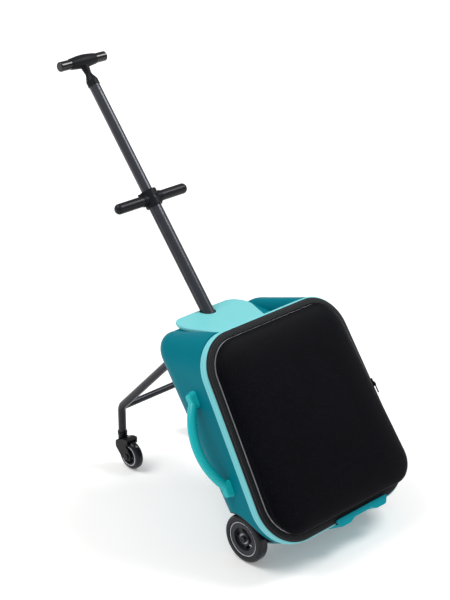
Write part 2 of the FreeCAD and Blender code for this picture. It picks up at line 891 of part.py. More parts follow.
def tyre(diameter, width, depth, shoulder, centre):
    """Round tyre with rounded shoulders, turned about X."""
    outer = diameter / 2
    inner = outer - depth
    half = width / 2
    profile = [flat(-half, inner), flat(-half, outer), flat(half, outer), flat(half, inner)]
    return turned(profile, [0, shoulder, shoulder, 0], centre, centre.x)


def hub_windows(boss, rim, centre, length):
    """Openings between the spokes of a hub."""
    windows = []
    for i in range(hub_spokes):
        middle = 2 * math.pi * i / hub_spokes + math.pi / 2
        corners = []
        for radius, turns in ((boss, (-1, 1)), (rim, (1, -1))):
            spread = math.pi / hub_spokes - math.asin(spoke_width / 2 / radius)
            for turn in turns:
                angle = middle + turn * spread
                reach = flat(radius * math.cos(angle), radius * math.sin(angle))
                corners.append(flat(centre.y, centre.z) + reach)
        windows.append(prism(corners, [window_corner] * 4, on_side(centre.x - length / 2), V(length, 0, 0)))
    return Part.makeCompound(windows)


def rear_wheel(name, side):
    """Rear wheel: tyre, five spoke hub and two bearings."""
    centre = V(side * (wheel_outer_face - wheel_width / 2), 0, wheel_radius)
    rim = wheel_radius - wheel_tyre_depth - seat_gap
    boss = bearing_diameter / 2 + hub_boss_wall
    ring = rim - hub_rim

    def disc(radius, width):
        return rod(2 * radius, centre - V(width / 2, 0, 0), centre + V(width / 2, 0, 0))

    hub = disc(rim, hub_width).cut(disc(ring, hub_width))
    hub = hub.fuse(disc(ring, hub_web)).fuse(disc(boss, hub_boss_width))
    hub = hub.cut(hub_windows(boss + window_corner, ring, centre, hub_width))
    hub = hub.cut(disc(bearing_diameter / 2 - hub_boss_wall, hub_width))
    bearings = []
    for end in SIDES.values():
        face = centre + V(end * hub_boss_width / 2, 0, 0)
        inside = face - V(end * bearing_width, 0, 0)
        hub = hub.cut(rod(bearing_diameter + 2 * seat_gap, inside, face))
        race = rod(bearing_diameter, inside, face).cut(rod(axle_diameter + 2 * running_gap, inside, face))
        bearings.append(race)
    add("rear_tyre_" + name, tyre(wheel_diameter, wheel_width, wheel_tyre_depth, wheel_shoulder, centre))
    add("rear_hub_" + name, hub)
    add("rear_bearings_" + name, Part.makeCompound(bearings))


tube_bore = lower_tube_diameter - 2 * lower_tube_wall
collar_top = collar_rise + collar_length / 2
collar_diameter = lower_tube_diameter + 2 * collar_wall
lower_tube_top = collar_top - collar_lip - tube_bush_length
upper_tube_low = collar_top - upper_overlap
upper_tube_top = tow_rise - tow_neck_length


def lower_tube():
    """Lower pole tube with a long groove on each side."""
    tube = pipe(lower_tube_diameter, lower_tube_wall, V(0, 0, -lower_tube_engaged), V(0, 0, lower_tube_top))
    length = lower_tube_top + lower_tube_engaged
    for side in SIDES.values():
        face = side * lower_tube_diameter / 2
        corner = V(face - tube_groove_depth, -tube_groove_width / 2, -lower_tube_engaged)
        tube = tube.cut(Part.makeBox(2 * tube_groove_depth, tube_groove_width, length, corner))
    seat = V(0, -lower_tube_diameter / 2, collar_rise - rivet_drop)
    return tube.cut(rod(rivet_diameter + 2 * seat_gap, seat, seat + V(0, lower_tube_diameter / 2, 0)))


def tube_rivet():
    """Stop rivet in the lower tube's wall."""
    seat = V(0, -lower_tube_diameter / 2 + rivet_sink, collar_rise - rivet_drop)
    return rod(rivet_diameter, seat, seat + V(0, rivet_depth, 0))


def tube_foot(outer, low):
    """Guide bush below a tube's lower end."""
    ring = rod(outer, V(0, 0, low - tube_foot_length), V(0, 0, low))
    return ring.cut(rod(outer / 2, V(0, 0, low - tube_foot_length), V(0, 0, low)))


def handlebar_collar():
    """Collar on the lower tube with a socket for each handlebar end."""
    low = V(0, 0, collar_rise - collar_length / 2)
    top = V(0, 0, collar_top)
    collar = rod(collar_diameter, low, top)
    collar = collar.makeFillet(collar_round, [e for e in collar.Edges if len(e.Vertexes) == 1])
    stub = collar_diameter / 2 + collar_stub
    centre = V(0, 0, collar_rise)
    socket = rod(bar_diameter + 2 * bar_socket, centre - V(stub, 0, 0), centre + V(stub, 0, 0))
    collar = collar.fuse(socket)
    collar = collar.cut(rod(lower_tube_diameter + 2 * seat_gap, low, top))
    spigot = bar_diameter - 2 * bar_spigot_step
    for side in SIDES.values():
        start = centre + V(side * (bar_start - seat_gap), 0, 0)
        collar = collar.cut(rod(spigot + 2 * seat_gap, start, centre + V(side * bar_span, 0, 0)))
    button = V(-collar_diameter / 2 + button_bore, 0, collar_rise + button_rise)
    collar = collar.cut(rod(button_diameter + 2 * running_gap, button, button - V(bar_span, 0, 0)))
    screw_face = V(0, -collar_diameter / 2, collar_rise)
    sunk = screw_face + V(0, 2 * collar_screw_depth, 0)
    return collar.cut(rod(collar_screw_diameter + 2 * seat_gap, screw_face, sunk))


def collar_screw():
    """Socket screw in the collar."""
    sunk = V(0, -collar_diameter / 2 + 2 * collar_screw_depth, collar_rise)
    face = sunk - V(0, collar_screw_depth, 0)
    head = rod(collar_screw_diameter, face, sunk)
    return head.cut(rod(collar_screw_diameter / 2, face, face + V(0, collar_screw_depth / 2, 0)))


bar_start = lower_tube_diameter / 2 + collar_wall - bar_socket


def handlebar(side):
    """Handlebar end with a rounded tip, seated in the collar's socket."""
    centre = V(0, 0, collar_rise)
    outer = bar_span / 2
    radius = bar_diameter / 2
    spigot = radius - bar_spigot_step
    shoulder = collar_diameter / 2 + collar_stub + seat_gap
    profile = [
        flat(bar_start, 0),
        flat(bar_start, spigot),
        flat(shoulder, spigot),
        flat(shoulder, radius),
        flat(outer, radius),
        flat(outer, 0),
    ]
    bar = turned(profile, [0, 0, 0, 0, bar_end_round, 0], centre, 0)
    return bar if side > 0 else bar.mirror(V(0, 0, 0), X_AXIS)


def release_button():
    """Push button on the collar's left side, with a domed face."""
    centre = V(0, 0, collar_rise + button_rise)
    radius = button_diameter / 2
    inner = collar_diameter / 2 - button_bite
    outer = collar_diameter / 2 + button_proud
    profile = [flat(inner, 0), flat(inner, radius), flat(outer, radius), flat(outer, 0)]
    return turned(profile, [0, 0, radius / 2, 0], centre, 0).mirror(V(0, 0, 0), X_AXIS)


def handle_core():
    """Swollen middle of the tow handle."""
    half = tow_core_width / 2
    width_shares = (-1, -0.55, 0, 0.55, 1)
    swell_shares = (0.3, 0.74, 1, 0.74, 0.3)
    rings = []
    for place, swell in zip(width_shares, swell_shares):
        radius = (tow_grip_diameter + (tow_core_diameter - tow_grip_diameter) * swell) / 2
        rings.append(Part.Wire([Part.makeCircle(radius, V(half * place, 0, tow_rise), X_AXIS)]))
    return Part.makeLoft(rings, True, False)


def spun(profile, radii):
    """Solid turned about the pole: profile points are radius and Z."""
    wire = rounded_wire(profile, radii, lambda p: V(p.x, 0, p.y))
    return Part.Face(wire).revolve(V(0, 0, 0), Z_AXIS, 360)


def handle_neck():
    """Waisted neck that plugs the tow handle onto the upper tube."""
    socket = upper_tube_diameter / 2 + tow_socket_wall
    low = upper_tube_top - tow_socket_length
    waist = upper_tube_top + (tow_rise - upper_tube_top) / 3
    profile = [
        flat(0, low),
        flat(socket, low),
        flat(socket, upper_tube_top),
        flat(tow_neck_diameter / 2, waist),
        flat(tow_flare_diameter / 2, tow_rise),
        flat(0, tow_rise),
    ]
    neck = spun(profile, [0, tow_socket_wall / 2, tow_socket_wall, tow_neck_diameter, 0, 0])
    bore = rod(upper_tube_diameter + 2 * seat_gap, V(0, 0, low), V(0, 0, upper_tube_top))
    return neck.cut(bore).cut(handle_core())


def tow_grip(side):
    """Smooth end of the tow handle."""
    inner = tow_core_width / 2
    outer = tow_width / 2
    radius = tow_grip_diameter / 2
    profile = [flat(inner, 0), flat(inner, radius), flat(outer, radius), flat(outer, 0)]
    grip = turned(profile, [0, 0, tow_core_round, 0], V(0, 0, tow_rise), 0)
    return grip if side > 0 else grip.mirror(V(0, 0, 0), X_AXIS)


def neck_screw_seats():
    """Outer points of the two screws in the upper tube."""
    first = upper_tube_top - tow_socket_length - neck_screw_drop
    return [V(0, -upper_tube_diameter / 2, first - i * neck_screw_pitch) for i in range(2)]


def neck_screws():
    """Two flush screws near the top of the upper tube."""
    inward = V(0, upper_tube_wall, 0)
    sink = V(0, rivet_sink, 0)
    return Part.makeCompound([rod(neck_screw_diameter, p + sink, p + inward) for p in neck_screw_seats()])


def upper_tube():
    """Upper pole tube, with holes for its screws."""
    tube = pipe(upper_tube_diameter, upper_tube_wall, V(0, 0, upper_tube_low), V(0, 0, upper_tube_top))
    bore = V(0, upper_tube_diameter / 2, 0)
    holes = [rod(neck_screw_diameter + 2 * seat_gap, p, p + bore) for p in neck_screw_seats()]
    return tube.cut(Part.makeCompound(holes))


def bent_path(points, radius):
    """Open path of three points with a round bend at the middle one."""
    before = V(points[0] - points[1]).normalize()
    after = V(points[2] - points[1]).normalize()
    half = before.getAngle(after) / 2
    reach = radius / math.tan(half)
    inward = V(before + after).normalize()
    start = points[1] + before * reach
    end = points[1] + after * reach
    crown = points[1] + inward * (radius / math.sin(half) - radius)
    bend = Part.Arc(start, crown, end).toShape()
    path = Part.Wire([Part.makeLine(points[0], start), bend, Part.makeLine(end, points[2])])
    return path, crown


def swept(path, diameter, start, heading):
    """Round bar swept along a path."""
    ring = Part.Wire([Part.makeCircle(diameter / 2, start, heading)])
    return path.makePipeShell([ring], True, True)


hinge = back_place.multVec(V(0, hinge_standoff, 0))
leg_foot = V(0, caster_base, leg_foot_height)
leg_bend = V(0, caster_base, leg_bend_height)


def leg_frame():
    """Two bent legs with hinge eyes, and the brace between their bends."""
    bars = []
    for name, side in SIDES.items():
        shift = V(side * leg_x, 0, 0)
        points = [hinge + shift, leg_bend + shift, leg_foot + shift]
        path, crown = bent_path(points, leg_bend_radius)
        heading = points[1] - points[0]
        bar = swept(path, leg_tube_diameter, points[0], heading)
        bore = swept(path, leg_tube_diameter - 2 * leg_tube_wall, points[0], heading)
        half = V(hinge_eye_length / 2, 0, 0)
        eye = rod(hinge_eye_diameter, points[0] - half, points[0] + half)
        pin = rod(hinge_pin_diameter + 2 * running_gap, points[0] - half, points[0] + half)
        add("leg_tube_" + name, bar.cut(bore).fuse(eye).cut(pin))
        bars.append(bar)
        brace_end = crown
    level = V(leg_x, 0, 0)
    middle = V(0, brace_end.y, brace_end.z)
    brace = rod(brace_diameter, middle - level, middle + level)
    add("cross_brace", brace.cut(bars[0]).cut(bars[1]))


def leg_bracket(side):
    """Clevis on the back of the case that holds a leg's eye, in the back frame."""
    eye_half = hinge_eye_length / 2 + loose_gap
    half = eye_half + bracket_wall
    outer = hinge_standoff + hinge_eye_diameter / 2
    ear = [
        flat(0, -bracket_low),
        flat(0, bracket_high),
        flat(outer, hinge_eye_diameter / 2),
        flat(outer, -hinge_eye_diameter / 2),
    ]
    radii = [0, 0, hinge_eye_diameter / 3, hinge_eye_diameter / 3]
    centre = side * leg_x
    height = bracket_low + bracket_high
    body = Part.makeBox(2 * half, bracket_wall, height, V(centre - half, seat_gap, -bracket_low))
    for x in (centre - half, centre + eye_half):
        body = body.fuse(prism(ear, radii, on_side(x), V(bracket_wall, 0, 0)))
    corner = V(centre - half, seat_gap - bracket_wall, -bracket_low)
    behind = Part.makeBox(2 * half, bracket_wall, height, corner)
    pin_end = V(centre - half, hinge_standoff, 0)
    pin = rod(hinge_pin_diameter + 2 * seat_gap, pin_end, pin_end + V(2 * half, 0, 0))
    holes = [drill(bracket_screw_diameter, p, -Y_AXIS, bracket_wall + overrun) for p in bracket_seats()]
    return body.cut(behind).cut(pin).cut(Part.makeCompound(holes))


def leg_pins():
    """Hinge pins of the two legs, in the back frame."""
    half = hinge_eye_length / 2 + loose_gap + bracket_wall
    pins = []
    for side in SIDES.values():
        centre = V(side * leg_x, hinge_standoff, 0)
        pins.append(rod(hinge_pin_diameter, centre - V(half, 0, 0), centre + V(half, 0, 0)))
    return Part.makeCompound(pins)


def bracket_screws():
    """Screws of the leg brackets, in the back frame."""
    sizes = (bracket_screw_diameter, bracket_wall + case_wall, bracket_screw_head, bracket_screw_depth)
    screws = []
    for seat in bracket_seats():
        seat = seat + V(0, seat_gap, 0)
        screws.append(screw(*sizes, seat, -Y_AXIS))
    return Part.makeCompound(screws)


collar_high = leg_foot_height - loose_gap
collar_low = collar_high - fork_collar_length
fork_half = caster_width / 2 + fork_gap + fork_wall
axle_y = caster_base - caster_trail
caster_radius = caster_diameter / 2


def caster_stems():
    """Swivel stems, seated in the lower ends of the leg tubes."""
    plug = leg_tube_diameter - 2 * leg_tube_wall - 2 * seat_gap
    stems = []
    for side in SIDES.values():
        foot = leg_foot + V(side * leg_x, 0, 0)
        low = V(foot.x, foot.y, collar_low + fork_gap)
        stems.append(rod(stem_diameter, low, foot).fuse(rod(plug, foot, foot + V(0, 0, stem_seat))))
    return Part.makeCompound(stems)


arm_outline_shares = ((1.10, 0.95), (1.10, 0.38), (0.47, -0.24), (-0.25, -0.30), (-0.44, 0.13), (0.30, 1.0))
arm_round_shares = (0.28, 0.25, 0.25, 0.22, 0.19, 0)


def caster_fork(side):
    """Caster fork: swivel neck, hood over the wheel and two slanted arms."""
    x = side * leg_x
    collar_radius = stem_diameter / 2 + fork_collar_wall
    outline = []
    for along, up in arm_outline_shares:
        outline.append(flat(axle_y + caster_radius * along, caster_radius + caster_radius * up))
    radii = [caster_radius * share for share in arm_round_shares]
    fork = prism(outline, radii, on_side(x - fork_half), V(2 * fork_half, 0, 0))
    slot_half = caster_width / 2 + fork_gap
    room_radius = caster_radius + fork_crown_gap

    def drum(radius, half):
        start = V(x - half, axle_y, caster_radius)
        return rod(2 * radius, start, start + V(2 * half, 0, 0))

    hood = drum(room_radius + fork_fender_wall, fork_half)
    hood_box = Part.makeBox(
        2 * fork_half, caster_trail + fork_fender_reach, caster_diameter,
        V(x - fork_half, axle_y - fork_fender_reach, caster_diameter - fork_round),
    )
    high = V(x, caster_base, collar_high)
    low = V(x, caster_base, collar_low)
    neck = rod(2 * collar_radius, low - V(0, 0, fork_round), high)
    lip = rod(2 * (collar_radius + fork_lip), high - V(0, 0, fork_lip_length), high)
    fork = fork.fuse(hood.common(hood_box)).fuse(neck).fuse(lip).cut(drum(room_radius, slot_half))
    bore = rod(stem_diameter + 2 * running_gap, low, high)
    return fork.cut(bore).cut(drum(caster_axle_diameter / 2 + seat_gap, fork_half))


def caster_axle(side):
    """Axle bolt of a caster, with a flat head on each end."""
    x = side * leg_x
    centre = V(x, axle_y, caster_radius)
    bolt = rod(caster_axle_diameter, centre - V(fork_half, 0, 0), centre + V(fork_half, 0, 0))
    for end in SIDES.values():
        face = centre + V(end * fork_half, 0, 0)
        bolt = bolt.fuse(rod(axle_head_diameter, face, face + V(end * axle_head_depth, 0, 0)))
    return bolt


def caster_wheel(name, side):
    """Caster wheel: tyre and spoked hub."""
    centre = V(side * leg_x, axle_y, caster_radius)
    rim = caster_radius - caster_tyre_depth - seat_gap
    half = V(caster_width / 2, 0, 0)
    thin = V(caster_width / 4, 0, 0)
    ring = rim - hub_rim * caster_hub_share
    boss = caster_axle_diameter / 2 + hub_boss_wall
    hub = rod(2 * rim, centre - half, centre + half).cut(rod(2 * ring, centre - half, centre + half))
    hub = hub.fuse(rod(2 * ring, centre - thin, centre + thin))
    hub = hub.fuse(rod(2 * boss, centre - half, centre + half))
    hub = hub.cut(hub_windows(boss + window_corner, ring, centre, caster_width))
    hub = hub.cut(rod(caster_axle_diameter + 2 * running_gap, centre - half, centre + half))
    sizes = (caster_diameter, caster_width, caster_tyre_depth, wheel_shoulder)
    add("caster_tyre_" + name, tyre(*sizes, centre))
    add("caster_hub_" + name, hub)


nodes = {}


def add(name, shape):
    """Keep a finished piece under its name."""
    nodes[name] = shape


def in_case(name, shape):
    """Keep a piece that was drawn in the case frame."""
    add(name, placed(shape, case_place))


def in_pole(name, shape):
    """Keep a piece that was drawn in the pole frame."""
    add(name, placed(shape, pole_place))


def in_back(name, shape):
    """Keep a piece that was drawn in the frame of the case's back."""
    add(name, placed(shape, back_place))


in_case("shell", shell())
in_case("rim_trim", rim_trim())
in_case("zip_band", zip_band())
in_case("lid_panel", lid_panel())
in_case("lid_piping", lid_piping())
in_case("lid_liner", lid_liner())
in_case("zip_slider", placed(zip_slider(), roll_place))
in_case("zip_pull", placed(zip_pull(), roll_place))
in_case("seat_plate", seat_plate())
in_case("seat_screws", seat_screws())
carry_handle()
in_case("stand_foot", stand_foot())
in_case("foot_screws", foot_screws())
for name, side in SIDES.items():
    in_case("wheel_housing_" + name, wheel_housing(side))
    rear_wheel(name, side)
    in_back("leg_bracket_" + name, leg_bracket(side))
    add("caster_fork_" + name, caster_fork(side))
    add("caster_axle_" + name, caster_axle(side))
    caster_wheel(name, side)
    in_pole("handlebar_" + name, handlebar(side))
    in_pole("tow_grip_" + name, tow_grip(side))
add("axle_bolts", axle_bolts())
in_back("leg_pins", leg_pins())
in_back("bracket_screws", bracket_screws())
leg_frame()
add("caster_stems", caster_stems())
guide_low = V(0, 0, -guide_length)
guide_high = V(0, 0, -guide_top - guide_bush_length)
bush_bore = lower_tube_diameter + 2 * running_gap
in_pole("pole_guide", pipe(guide_diameter, guide_wall, guide_low, guide_high))
in_pole("guide_bush", pipe(guide_diameter, (guide_diameter - bush_bore) / 2, guide_high, V(0, 0, -guide_top)))
in_pole("guide_plug", rod(guide_diameter, guide_low - V(0, 0, guide_plug_length), guide_low))
in_pole("lower_tube", lower_tube())
in_pole("lower_tube_foot", tube_foot(guide_bore - 2 * running_gap, -lower_tube_engaged))
tube_bush_bore = upper_tube_diameter + 2 * running_gap
tube_bush_wall = (lower_tube_diameter - tube_bush_bore) / 2
in_pole("tube_bush", pipe(lower_tube_diameter, tube_bush_wall, V(0, 0, lower_tube_top),
                          V(0, 0, lower_tube_top + tube_bush_length)))
in_pole("tube_rivet", tube_rivet())
in_pole("handlebar_collar", handlebar_collar())
in_pole("collar_screw", collar_screw())
in_pole("release_button", release_button())
in_pole("upper_tube", upper_tube())
in_pole("upper_tube_foot", tube_foot(tube_bore - 2 * running_gap, upper_tube_low))
in_pole("handle_neck", handle_neck())
in_pole("handle_core", handle_core())
in_pole("neck_screws", neck_screws())

whole = Part.makeCompound(list(nodes.values())).optimalBoundingBox()
origin = V(whole.Center.x, whole.Center.y, whole.ZMin)
os.makedirs("parts", exist_ok=True)
for name, shape in nodes.items():
    shape.translate(-origin)
    shape.exportStep("parts/" + name + ".step")
    print(name, len(shape.Solids), shape.isValid(), round(shape.Volume))
print("origin", origin)
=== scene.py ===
"""Looks of the ride on suitcase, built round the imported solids.

The file follows the object as it is put together: the case and its fixed
mouldings, the wheels, the pole, the leg frame, the zip and the padded lid,
then the floor, the lights and the camera.
"""
import math
import bpy
import bmesh
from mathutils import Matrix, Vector


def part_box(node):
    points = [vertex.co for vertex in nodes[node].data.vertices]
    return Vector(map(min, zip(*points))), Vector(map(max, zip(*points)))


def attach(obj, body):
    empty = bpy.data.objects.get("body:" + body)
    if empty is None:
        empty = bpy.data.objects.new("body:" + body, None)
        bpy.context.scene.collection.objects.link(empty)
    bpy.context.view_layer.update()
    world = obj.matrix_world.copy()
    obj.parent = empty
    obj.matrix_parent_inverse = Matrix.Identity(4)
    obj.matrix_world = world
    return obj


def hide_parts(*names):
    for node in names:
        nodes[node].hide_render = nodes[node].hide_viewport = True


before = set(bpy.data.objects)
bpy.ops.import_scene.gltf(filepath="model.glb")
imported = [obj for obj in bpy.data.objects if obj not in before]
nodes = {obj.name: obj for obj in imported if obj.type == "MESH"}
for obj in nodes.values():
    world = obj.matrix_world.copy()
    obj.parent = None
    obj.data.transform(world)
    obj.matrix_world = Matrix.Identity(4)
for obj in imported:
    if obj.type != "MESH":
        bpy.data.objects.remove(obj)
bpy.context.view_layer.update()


# Case shell: one hollow wedge, injection moulded in deep teal plastic with a
# fine eroded grain. The trim, seat, brackets and wheels are fixed to it.
class Field:
    """A shader socket that can stand in sums."""

    def __init__(self, finish, socket):
        self.finish = finish
        self.socket = socket

    def sum_with(self, operation, other, flip=False):
        pair = (other, self) if flip else (self, other)
        return self.finish.node("ShaderNodeMath", {"operation": operation}, {0: pair[0], 1: pair[1]})

    def __add__(self, other):
        return self.sum_with("ADD", other)

    def __sub__(self, other):
        return self.sum_with("SUBTRACT", other)

    def __mul__(self, other):
        return self.sum_with("MULTIPLY", other)

    def __radd__(self, other):
        return self.sum_with("ADD", other, True)

    def __rsub__(self, other):
        return self.sum_with("SUBTRACT", other, True)

    def __rmul__(self, other):
        return self.sum_with("MULTIPLY", other, True)


class Finish:
    """A material whose nodes are added as they are named."""

    def __init__(self, name):
        self.material = bpy.data.materials.new(name)
        self.material.use_nodes = True
        self.tree = self.material.node_tree
        self.shader = self.tree.nodes["Principled BSDF"]

    def node(self, kind, settings, inputs, output=0):
        made = self.tree.nodes.new(kind)
        for key, value in settings.items():
            if key == "stops":
                for element, (place, level) in zip(made.color_ramp.elements, value):
                    element.position = place
                    element.color = (level, level, level, 1)
            else:
                setattr(made, key, value)
        for key, value in inputs.items():
            self.feed(made.inputs[key], value)
        return Field(self, made.outputs[output])

    def feed(self, socket, value):
        if isinstance(value, Field):
            self.tree.links.new(value.socket, socket)
        else:
            socket.default_value = value

    def place(self):
        return self.node("ShaderNodeTexCoord", {}, {}, "Object")

    def height(self):
        return self.node("ShaderNodeSeparateXYZ", {}, {0: self.place()}, 2)

    def noise(self, scale, detail=2.0):
        inputs = {"Vector": self.place(), "Scale": scale, "Detail": detail}
        return self.node("ShaderNodeTexNoise", {}, inputs)

    def steps(self, value, low, high):
        return self.node("ShaderNodeValToRGB", {"stops": ((low, 0.0), (high, 1.0))}, {0: value})

    def blend(self, mask, first, second):
        inputs = {0: mask, 6: first, 7: second}
        return self.node("ShaderNodeMix", {"data_type": "RGBA"}, inputs, 2)

    def bump(self, height, strength, distance):
        inputs = {"Height": height, "Strength": strength, "Distance": distance}
        self.feed(self.shader.inputs["Normal"], self.node("ShaderNodeBump", {}, inputs))

    def set(self, **values):
        for key, value in values.items():
            self.feed(self.shader.inputs[key.replace("_", " ")], value)


def tint(code):
    """Linear colour of a hex code."""
    levels = [int(code[i:i + 2], 16) / 255 for i in (0, 2, 4)]
    return tuple(v / 12.92 if v < 0.04045 else ((v + 0.055) / 1.055) ** 2.4 for v in levels) + (1,)


def moulded(name, light, dark, gloss, shine=0.35, grain=1500.0, depth=0.00005):
    """Moulded plastic: faint colour drift, fine grain, and scuffs that gather low down."""
    finish = Finish(name)
    cloud = finish.noise(9.0, 3.0)
    low_down = 1 - finish.steps(finish.height(), 0.02, 0.40)
    scuff = finish.steps(finish.noise(70.0, 7.0), 0.56, 0.72) * (0.25 + low_down * 0.75)
    finish.set(Base_Color=finish.blend(cloud, tint(light), tint(dark)))
    finish.set(Roughness=gloss + cloud * 0.05 + scuff * 0.14)
    finish.set(Specular_IOR_Level=shine)
    finish.bump(finish.noise(grain, 1.0), 0.5, depth)
    return finish.material


def paint(material, *names):
    """Gives CAD nodes a material."""
    for name in names:
        slots = nodes[name].data.materials
        slots.clear()
        slots.append(material)


shell_plastic = moulded("shell plastic", "007483", "006a78", 0.36, 0.03)
paint(shell_plastic, "shell")


# Stand foot: a two lobed moulding under the lid that the upright case rests
# on, hooked round the band and held by two countersunk screws.
foot_plastic = moulded("foot plastic", "049ba9", "00909e", 0.30, 0.14)
paint(foot_plastic, "stand_foot")


# Rim trim: a pale turquoise moulding with two rounded ridges, clipped round
# the mouth of the shell. It stiffens the opening and carries the zip band.
trim_plastic = moulded("trim plastic", "7bcbd1", "74c5cc", 0.30, 0.12)
paint(trim_plastic, "rim_trim")


# Seat: a smooth saddle in the same pale plastic, dished at the back, with an
# opening for the pole. Four zinc plated screws hold it from inside the case.
seat_plastic = moulded("seat plastic", "78c8cc", "71c2c6", 0.27, 0.15)
paint(seat_plastic, "seat_plate")


def metal(name, code, worn, gloss, brushed):
    """Plated metal with fine brushing and a little uneven shine."""
    finish = Finish(name)
    streak = finish.noise(brushed, 4.0)
    finish.set(Base_Color=finish.blend(streak, tint(code), tint(worn)), Metallic=1.0)
    finish.set(Roughness=gloss + streak * 0.16)
    finish.bump(streak, 0.15, 0.00003)
    return finish.material


zinc = metal("zinc plate", "b4b6b9", "6c6f74", 0.24, 420.0)
paint(zinc, "seat_screws", "foot_screws")


# Carry handle: a bowed grip between two rounded caps on the left wall, in a
# brighter turquoise with a glossier skin, screwed from inside the wall.
handle_plastic = moulded("handle plastic", "16b4b9", "12acb1", 0.22, 0.24)
paint(handle_plastic, "carry_grip", "carry_cap_upper", "carry_cap_lower")
paint(zinc, "carry_screws")


# Wheel housings and axle bolts: black nylon cups in the wheel arches, each
# with a boss for a steel bolt. A rounded bolt face with a hexagon socket shows.
def piece(name, shape, material, body):
    """Finished object from a mesh under construction."""
    bmesh.ops.recalc_face_normals(shape, faces=shape.faces)
    mesh = bpy.data.meshes.new(name)
    shape.to_mesh(mesh)
    shape.free()
    for face in mesh.polygons:
        face.use_smooth = True
    made = bpy.data.objects.new(name, mesh)
    bpy.context.scene.collection.objects.link(made)
    mesh.materials.append(material)
    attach(made, body)
    return made


def bridge(shape, first, second):
    """Quads between two rings of the same count."""
    for i in range(len(first)):
        j = (i + 1) % len(first)
        shape.faces.new((first[i], first[j], second[j], second[i]))


def bolt_face(shape, middle, out, radius):
    """Rounded bolt face with a hexagon socket, across X."""
    around = 48
    hexagon = radius * 0.40
    steps = ((1.0, 0.0), (0.97, 0.045), (0.86, 0.10), (0.62, 0.13), (0.0, 0.13), (0.0, 0.02))
    rings = []
    for share, proud in steps:
        ring = []
        for i in range(around):
            turn = 2 * math.pi * i / around
            reach = radius * share
            if share == 0.0:
                corner = (turn % (math.pi / 3)) - math.pi / 6
                reach = hexagon * math.cos(math.pi / 6) / math.cos(corner)
            offset = Vector((out * radius * proud, reach * math.cos(turn), reach * math.sin(turn)))
            ring.append(shape.verts.new(middle + offset))
        rings.append(ring)
    for first, second in zip(rings, rings[1:]):
        bridge(shape, first, second)
    shape.faces.new(rings[-1])
    shape.faces.new(rings[0])


black_nylon = moulded("black nylon", "1b1c20", "15161a", 0.40, 0.10, 1800.0, 0.00006)
paint(black_nylon, "wheel_housing_left", "wheel_housing_right")
dark_steel = metal("dark steel", "3e4044", "2b2c30", 0.32, 420.0)
paint(dark_steel, "axle_bolts")
bolt_head_radius, face_gap = 0.0075, 0.0001
bolt_faces = bmesh.new()
bolt_low, bolt_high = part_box("axle_bolts")
axle_middle = (bolt_low + bolt_high) / 2
for out, x in ((-1, bolt_low.x), (1, bolt_high.x)):
    bolt_face(bolt_faces, Vector((x + out * face_gap, axle_middle.y, axle_middle.z)), out, bolt_head_radius)
piece("axle_bolt_faces", bolt_faces, dark_steel, "case")


# Rear wheels: smooth black polyurethane tyres cast onto dark five spoke hubs,
# with ball bearings in the boss and a pale line round the hub's rim.
def rubber(name, code, gloss):
    """Smooth black tyre with a little floor dust in its fine grain."""
    finish = Finish(name)
    dust = finish.steps(finish.noise(120.0, 5.0), 0.45, 0.8)
    finish.set(Base_Color=finish.blend(dust, tint(code), tint("23232b")))
    finish.set(Roughness=gloss + dust * 0.10)
    finish.set(Specular_IOR_Level=0.22)
    finish.bump(finish.noise(1100.0, 2.0), 0.35, 0.00004)
    return finish.material


black_tyre = rubber("black tyre", "15151c", 0.13)
hub_plastic = moulded("hub plastic", "2d2e35", "26272d", 0.26, 0.20)
line_share = 0.955
line_plastic = moulded("rim line", "d2d5da", "c4c7cc", 0.30)


def rim_line(name, node, share, body):
    """Thin raised line round a hub's rim, on both faces."""
    low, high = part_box(node)
    middle = (low + high) / 2
    radius = (high.z - low.z) / 2 * share
    around = 96
    profile = ((-0.0009, 0.0), (-0.0006, 0.0005), (0.0006, 0.0005), (0.0009, 0.0))
    shape = bmesh.new()
    for out, x in ((-1, low.x), (1, high.x)):
        rings = []
        for across, proud in profile:
            ring = []
            for i in range(around):
                turn = 2 * math.pi * i / around
                reach = radius + across
                aside, up = reach * math.cos(turn), reach * math.sin(turn)
                ring.append(shape.verts.new((x + out * proud, middle.y + aside, middle.z + up)))
            rings.append(ring)
        for first, second in zip(rings, rings[1:] + rings[:1]):
            bridge(shape, first, second)
    piece(name, shape, line_plastic, body)


for side in ("left", "right"):
    paint(black_tyre, "rear_tyre_" + side)
    paint(hub_plastic, "rear_hub_" + side)
    paint(zinc, "rear_bearings_" + side)
    rim_line("rear_rim_line_" + side, "rear_hub_" + side, line_share, "rear_wheel_" + side)


# Pole: two drawn aluminium tubes, dark anodised, that slide in each other and
# in a guide inside the case, with nylon bushes and a stop rivet.
def drawn_tube(name, light, dark):
    """Dark anodised tube: long faint lines and a soft sheen."""
    finish = Finish(name)
    stretch = finish.node("ShaderNodeMapping", {}, {"Vector": finish.place(), "Scale": (900.0, 60.0, 60.0)})
    lines = finish.node("ShaderNodeTexNoise", {}, {"Vector": stretch, "Scale": 1.0, "Detail": 3.0})
    cloud = finish.noise(40.0, 4.0)
    finish.set(Base_Color=finish.blend(cloud, tint(light), tint(dark)), Metallic=0.6)
    finish.set(Roughness=0.27 + cloud * 0.10)
    finish.bump(lines, 0.2, 0.00003)
    return finish.material


dark_tube = drawn_tube("dark anodised tube", "42454b", "34363b")
paint(dark_tube, "lower_tube", "upper_tube", "pole_guide")
paint(black_nylon, "guide_bush", "guide_plug", "lower_tube_foot", "tube_bush", "upper_tube_foot")
paint(dark_steel, "tube_rivet")


